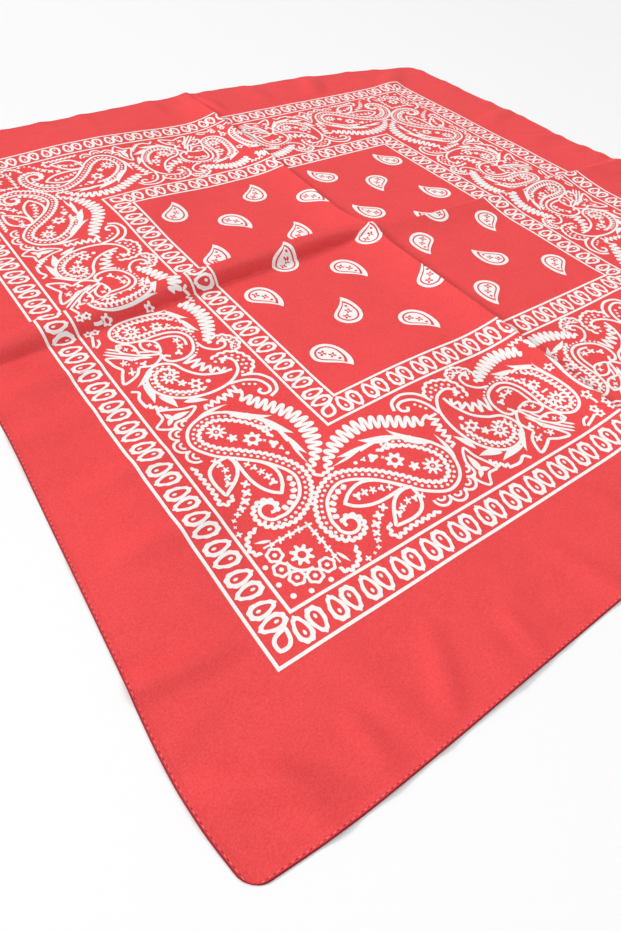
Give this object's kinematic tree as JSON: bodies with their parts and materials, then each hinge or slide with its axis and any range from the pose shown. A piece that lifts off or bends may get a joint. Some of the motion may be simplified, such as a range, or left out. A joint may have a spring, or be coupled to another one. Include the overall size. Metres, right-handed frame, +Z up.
{
  "type": "square printed bandana, spread flat",
  "caption": "Square cotton-feel bandana laid flat, with narrow turned hems, two standing fold lines that cross at its middle and slow swells.",
  "frame": {"origin": "middle of the cloth's outline, on the surface that the cloth lies on", "axes": "+Z up out of the cloth; X and Y along its sides, with the corner at -X,-Y nearest the viewer"},
  "size_m": [0.5453, 0.5502, 0.0084],
  "materials": {
    "cloth": "plain woven, soft slight sheen",
    "hem": "plain woven, turned and machine stitched",
    "print": "matt white discharge print on the weave",
    "thread": "matt sewing thread"
  },
  "bodies": {
    "root": {"cloth_panel": "cloth", "hem_near_left": "hem", "hem_near_right": "hem", "hem_far_right": "hem", "hem_far_left": "hem"}
  },
  "joints": []
}
